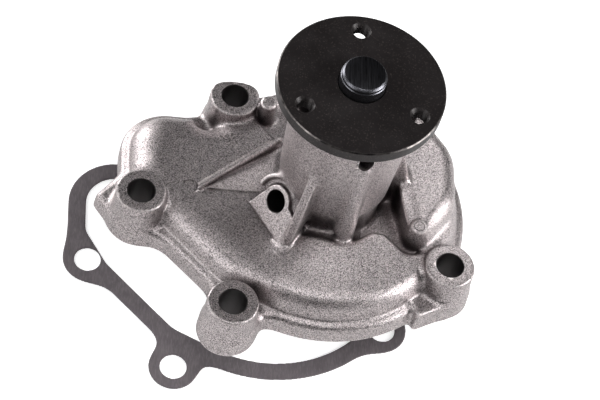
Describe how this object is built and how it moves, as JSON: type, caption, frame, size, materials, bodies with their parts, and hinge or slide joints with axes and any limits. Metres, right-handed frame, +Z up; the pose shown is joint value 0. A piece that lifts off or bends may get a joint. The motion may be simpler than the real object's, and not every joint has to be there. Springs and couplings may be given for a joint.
{
  "type": "water pump",
  "caption": "Automotive water pump: cast housing with bolt bosses and side lobe, drive flange on a sealed bearing shaft, vaned impeller below, and a loose ring gasket.",
  "frame": {"origin": "centre of the shaft's rear end face, level with the impeller's rear edge", "axes": "+Z up the shaft towards the drive flange; -Y to the front, where the drain hole and front rib are; -X to the side lobe"},
  "size_m": [0.1461, 0.122, 0.1166],
  "materials": {
    "cast_aluminium": "shot-blasted casting with milled faces",
    "black_steel": "black oxide, faint turning marks",
    "ground_steel": "ground and polished",
    "pressed_steel": "pressed stainless sheet",
    "cast_iron": "as cast, turned edges",
    "rubber": "moulded black",
    "carbon": "lapped graphite",
    "ceramic": "lapped",
    "cage_plastic": "glass-filled nylon",
    "gasket_fibre": "coated fibre sheet"
  },
  "bodies": {
    "housing": {"pump_housing": "cast_aluminium", "bearing_outer_ring": "ground_steel", "bearing_seal_front": "rubber", "bearing_seal_rear": "rubber", "seal_case": "pressed_steel", "seal_bellows": "rubber", "seal_spring": "ground_steel", "seal_carbon": "carbon", "seal_band": "pressed_steel"},
    "rotor": {"shaft": "ground_steel", "drive_flange": "black_steel", "impeller": "cast_iron", "slinger": "rubber", "seal_seat": "ceramic", "seal_seat_boot": "rubber"},
    "ball_row": {"ball_cage": "cage_plastic", "ball_1": "ground_steel", "ball_2": "ground_steel", "ball_3": "ground_steel", "ball_4": "ground_steel", "ball_5": "ground_steel", "ball_6": "ground_steel", "ball_7": "ground_steel", "ball_8": "ground_steel"},
    "roller_row": {"roller_cage": "cage_plastic", "roller_1": "ground_steel", "roller_2": "ground_steel", "roller_3": "ground_steel", "roller_4": "ground_steel", "roller_5": "ground_steel", "roller_6": "ground_steel", "roller_7": "ground_steel", "roller_8": "ground_steel", "roller_9": "ground_steel"},
    "gasket": {"gasket": "gasket_fibre"}
  },
  "joints": [
    {"name": "shaft_spin", "type": "hinge", "parent": "housing", "child": "rotor", "pos_m": [0, 0, 0], "axis": [0, 0, 1], "continuous": true},
    {"name": "ball_row_orbit", "type": "hinge", "parent": "housing", "child": "ball_row", "pos_m": [0, 0, 0.089], "axis": [0, 0, 1], "continuous": true},
    {"name": "roller_row_orbit", "type": "hinge", "parent": "housing", "child": "roller_row", "pos_m": [0, 0, 0.0715], "axis": [0, 0, 1], "continuous": true},
    {"name": "gasket_to_seat", "type": "slide", "parent": "housing", "child": "gasket", "axis": [0.499, 0.0322, 0.866], "range_m": [0, 0.03106]}
  ],
  "couplings": [
    {"joint": "ball_row_orbit", "follows": "shaft_spin", "ratio": 0.3725},
    {"joint": "roller_row_orbit", "follows": "shaft_spin", "ratio": 0.3986}
  ]
}
